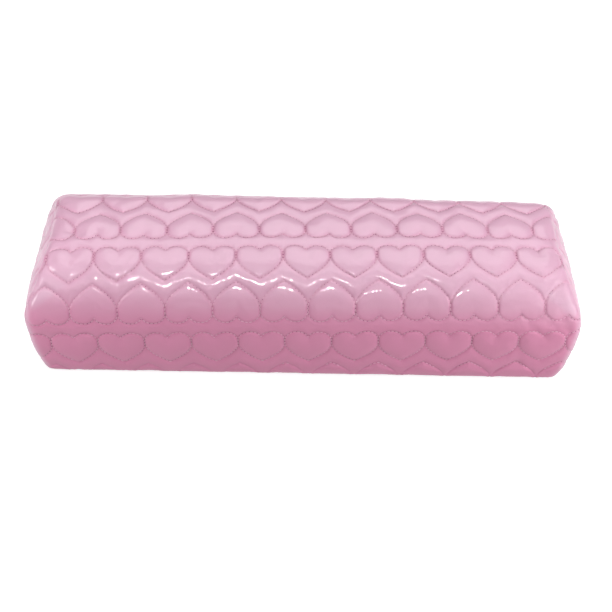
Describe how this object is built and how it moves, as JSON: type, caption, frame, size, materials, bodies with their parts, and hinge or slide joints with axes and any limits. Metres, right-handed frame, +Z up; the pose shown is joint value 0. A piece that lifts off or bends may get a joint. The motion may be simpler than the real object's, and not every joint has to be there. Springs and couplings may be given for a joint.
{
  "type": "manicure hand rest",
  "caption": "Long soft rest for a hand or wrist at a manicure table: a foam block in a sewn cover of glossy imitation leather quilted with rows of hearts.",
  "frame": {"origin": "on the table, under the middle of the hand rest", "axes": "+X along the rest, +Y from its front to its back, +Z up"},
  "size_m": [0.306, 0.1021, 0.0678],
  "materials": {
    "quilted_vinyl": "glossy pink imitation leather, quilted through thin wadding",
    "base_vinyl": "plain pink imitation leather, satin",
    "foam": "matte open-cell foam"
  },
  "bodies": {
    "root": {"main_panel": "quilted_vinyl", "end_panel_left": "quilted_vinyl", "end_panel_right": "quilted_vinyl", "base_panel": "base_vinyl", "foam_core": "foam"}
  },
  "joints": []
}
